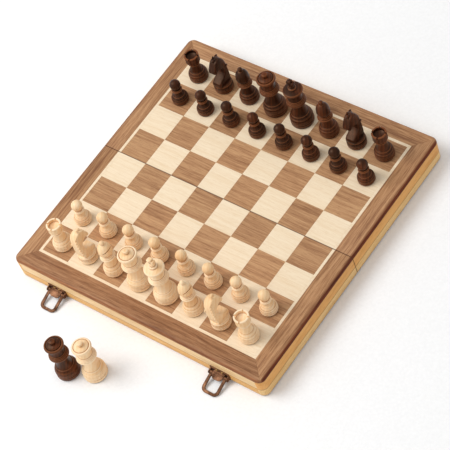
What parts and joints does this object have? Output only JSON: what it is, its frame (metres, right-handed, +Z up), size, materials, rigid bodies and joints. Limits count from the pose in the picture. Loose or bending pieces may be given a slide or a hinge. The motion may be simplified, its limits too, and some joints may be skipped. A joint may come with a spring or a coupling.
{
  "type": "folding chess set",
  "caption": "Wooden chess board that folds into a hinged box with clasps, open and set up with turned and carved chessmen.",
  "frame": {"origin": "middle of the open board, on the fold hinge's axis, in the plane of the two halves' rims", "axes": "+X along the fold from the a-file to the h-file, +Y from the light side to the dark side, +Z up"},
  "size_m": [0.381, 0.486, 0.113],
  "materials": {
    "maple_wall": "satin lacquer",
    "plywood": "plain",
    "walnut_border": "satin lacquer",
    "maple_veneer": "satin lacquer",
    "walnut_veneer": "satin lacquer",
    "green_felt": "felt",
    "brown_felt": "felt",
    "hinge_brass": "satin",
    "bronze": "antique bronze",
    "light_men": "satin lacquer",
    "dark_men": "gloss lacquer"
  },
  "bodies": {
    "near_half": {"near_side_walls": "maple_wall", "near_seam_wall": "maple_wall", "near_panel": "plywood", "near_border": "walnut_border", "near_maple_veneer": "maple_veneer", "near_walnut_veneer": "walnut_veneer", "near_lining": "green_felt", "near_pads": "brown_felt", "near_screws": "hinge_brass", "near_hinge_leaves": "hinge_brass", "near_front_wall": "maple_wall", "clasp_brackets": "bronze"},
    "far_half": {"far_side_walls": "maple_wall", "far_seam_wall": "maple_wall", "far_panel": "plywood", "far_border": "walnut_border", "far_maple_veneer": "maple_veneer", "far_walnut_veneer": "walnut_veneer", "far_lining": "green_felt", "far_pads": "brown_felt", "far_screws": "hinge_brass", "far_hinge_leaves": "hinge_brass", "far_back_wall": "maple_wall", "catches": "bronze"},
    "left_bail": {"left_bail": "bronze"},
    "right_bail": {"right_bail": "bronze"},
    "white_rook_a": {"white_rook_a": "light_men"},
    "white_knight_b": {"white_knight_b": "light_men"},
    "white_bishop_c": {"white_bishop_c": "light_men"},
    "white_queen": {"white_queen": "light_men"},
    "white_king": {"white_king": "light_men"},
    "white_bishop_f": {"white_bishop_f": "light_men"},
    "white_knight_g": {"white_knight_g": "light_men"},
    "white_rook_h": {"white_rook_h": "light_men"},
    "white_pawn_a": {"white_pawn_a": "light_men"},
    "white_pawn_b": {"white_pawn_b": "light_men"},
    "white_pawn_c": {"white_pawn_c": "light_men"},
    "white_pawn_d": {"white_pawn_d": "light_men"},
    "white_pawn_e": {"white_pawn_e": "light_men"},
    "white_pawn_f": {"white_pawn_f": "light_men"},
    "white_pawn_g": {"white_pawn_g": "light_men"},
    "white_pawn_h": {"white_pawn_h": "light_men"},
    "white_spare_queen": {"white_spare_queen": "light_men"},
    "black_rook_a": {"black_rook_a": "dark_men"},
    "black_knight_b": {"black_knight_b": "dark_men"},
    "black_bishop_c": {"black_bishop_c": "dark_men"},
    "black_queen": {"black_queen": "dark_men"},
    "black_king": {"black_king": "dark_men"},
    "black_bishop_f": {"black_bishop_f": "dark_men"},
    "black_knight_g": {"black_knight_g": "dark_men"},
    "black_rook_h": {"black_rook_h": "dark_men"},
    "black_pawn_a": {"black_pawn_a": "dark_men"},
    "black_pawn_b": {"black_pawn_b": "dark_men"},
    "black_pawn_c": {"black_pawn_c": "dark_men"},
    "black_pawn_d": {"black_pawn_d": "dark_men"},
    "black_pawn_e": {"black_pawn_e": "dark_men"},
    "black_pawn_f": {"black_pawn_f": "dark_men"},
    "black_pawn_g": {"black_pawn_g": "dark_men"},
    "black_pawn_h": {"black_pawn_h": "dark_men"},
    "black_spare_queen": {"black_spare_queen": "dark_men"}
  },
  "joints": [
    {"name": "fold", "type": "hinge", "parent": "near_half", "child": "far_half", "pos_m": [0, 0, 0], "axis": [-1, 0, 0], "range_deg": [0, 179.3]},
    {"name": "left_bail_swing", "type": "hinge", "parent": "near_half", "child": "left_bail", "pos_m": [-0.1255, -0.1945, 0.0056], "axis": [-1, 0, 0], "range_deg": [-74, 105]},
    {"name": "right_bail_swing", "type": "hinge", "parent": "near_half", "child": "right_bail", "pos_m": [0.1255, -0.1945, 0.0056], "axis": [-1, 0, 0], "range_deg": [-74, 105]},
    {"name": "white_rook_a_lift", "type": "slide", "parent": "near_half", "child": "white_rook_a", "axis": [0, 0, 1], "range_m": [0, 0.1]},
    {"name": "white_knight_b_lift", "type": "slide", "parent": "near_half", "child": "white_knight_b", "axis": [0, 0, 1], "range_m": [0, 0.1]},
    {"name": "white_bishop_c_lift", "type": "slide", "parent": "near_half", "child": "white_bishop_c", "axis": [0, 0, 1], "range_m": [0, 0.1]},
    {"name": "white_queen_lift", "type": "slide", "parent": "near_half", "child": "white_queen", "axis": [0, 0, 1], "range_m": [0, 0.1]},
    {"name": "white_king_lift", "type": "slide", "parent": "near_half", "child": "white_king", "axis": [0, 0, 1], "range_m": [0, 0.1]},
    {"name": "white_bishop_f_lift", "type": "slide", "parent": "near_half", "child": "white_bishop_f", "axis": [0, 0, 1], "range_m": [0, 0.1]},
    {"name": "white_knight_g_lift", "type": "slide", "parent": "near_half", "child": "white_knight_g", "axis": [0, 0, 1], "range_m": [0, 0.1]},
    {"name": "white_rook_h_lift", "type": "slide", "parent": "near_half", "child": "white_rook_h", "axis": [0, 0, 1], "range_m": [0, 0.1]},
    {"name": "white_pawn_a_lift", "type": "slide", "parent": "near_half", "child": "white_pawn_a", "axis": [0, 0, 1], "range_m": [0, 0.1]},
    {"name": "white_pawn_b_lift", "type": "slide", "parent": "near_half", "child": "white_pawn_b", "axis": [0, 0, 1], "range_m": [0, 0.1]},
    {"name": "white_pawn_c_lift", "type": "slide", "parent": "near_half", "child": "white_pawn_c", "axis": [0, 0, 1], "range_m": [0, 0.1]},
    {"name": "white_pawn_d_lift", "type": "slide", "parent": "near_half", "child": "white_pawn_d", "axis": [0, 0, 1], "range_m": [0, 0.1]},
    {"name": "white_pawn_e_lift", "type": "slide", "parent": "near_half", "child": "white_pawn_e", "axis": [0, 0, 1], "range_m": [0, 0.1]},
    {"name": "white_pawn_f_lift", "type": "slide", "parent": "near_half", "child": "white_pawn_f", "axis": [0, 0, 1], "range_m": [0, 0.1]},
    {"name": "white_pawn_g_lift", "type": "slide", "parent": "near_half", "child": "white_pawn_g", "axis": [0, 0, 1], "range_m": [0, 0.1]},
    {"name": "white_pawn_h_lift", "type": "slide", "parent": "near_half", "child": "white_pawn_h", "axis": [0, 0, 1], "range_m": [0, 0.1]},
    {"name": "white_spare_queen_lift", "type": "slide", "parent": "near_half", "child": "white_spare_queen", "axis": [0, 0, 1], "range_m": [0, 0.1]},
    {"name": "black_rook_a_lift", "type": "slide", "parent": "far_half", "child": "black_rook_a", "axis": [0, 0, 1], "range_m": [0, 0.1]},
    {"name": "black_knight_b_lift", "type": "slide", "parent": "far_half", "child": "black_knight_b", "axis": [0, 0, 1], "range_m": [0, 0.1]},
    {"name": "black_bishop_c_lift", "type": "slide", "parent": "far_half", "child": "black_bishop_c", "axis": [0, 0, 1], "range_m": [0, 0.1]},
    {"name": "black_queen_lift", "type": "slide", "parent": "far_half", "child": "black_queen", "axis": [0, 0, 1], "range_m": [0, 0.1]},
    {"name": "black_king_lift", "type": "slide", "parent": "far_half", "child": "black_king", "axis": [0, 0, 1], "range_m": [0, 0.1]},
    {"name": "black_bishop_f_lift", "type": "slide", "parent": "far_half", "child": "black_bishop_f", "axis": [0, 0, 1], "range_m": [0, 0.1]},
    {"name": "black_knight_g_lift", "type": "slide", "parent": "far_half", "child": "black_knight_g", "axis": [0, 0, 1], "range_m": [0, 0.1]},
    {"name": "black_rook_h_lift", "type": "slide", "parent": "far_half", "child": "black_rook_h", "axis": [0, 0, 1], "range_m": [0, 0.1]},
    {"name": "black_pawn_a_lift", "type": "slide", "parent": "far_half", "child": "black_pawn_a", "axis": [0, 0, 1], "range_m": [0, 0.1]},
    {"name": "black_pawn_b_lift", "type": "slide", "parent": "far_half", "child": "black_pawn_b", "axis": [0, 0, 1], "range_m": [0, 0.1]},
    {"name": "black_pawn_c_lift", "type": "slide", "parent": "far_half", "child": "black_pawn_c", "axis": [0, 0, 1], "range_m": [0, 0.1]},
    {"name": "black_pawn_d_lift", "type": "slide", "parent": "far_half", "child": "black_pawn_d", "axis": [0, 0, 1], "range_m": [0, 0.1]},
    {"name": "black_pawn_e_lift", "type": "slide", "parent": "far_half", "child": "black_pawn_e", "axis": [0, 0, 1], "range_m": [0, 0.1]},
    {"name": "black_pawn_f_lift", "type": "slide", "parent": "far_half", "child": "black_pawn_f", "axis": [0, 0, 1], "range_m": [0, 0.1]},
    {"name": "black_pawn_g_lift", "type": "slide", "parent": "far_half", "child": "black_pawn_g", "axis": [0, 0, 1], "range_m": [0, 0.1]},
    {"name": "black_pawn_h_lift", "type": "slide", "parent": "far_half", "child": "black_pawn_h", "axis": [0, 0, 1], "range_m": [0, 0.1]},
    {"name": "black_spare_queen_lift", "type": "slide", "parent": "near_half", "child": "black_spare_queen", "axis": [0, 0, 1], "range_m": [0, 0.1]}
  ]
}
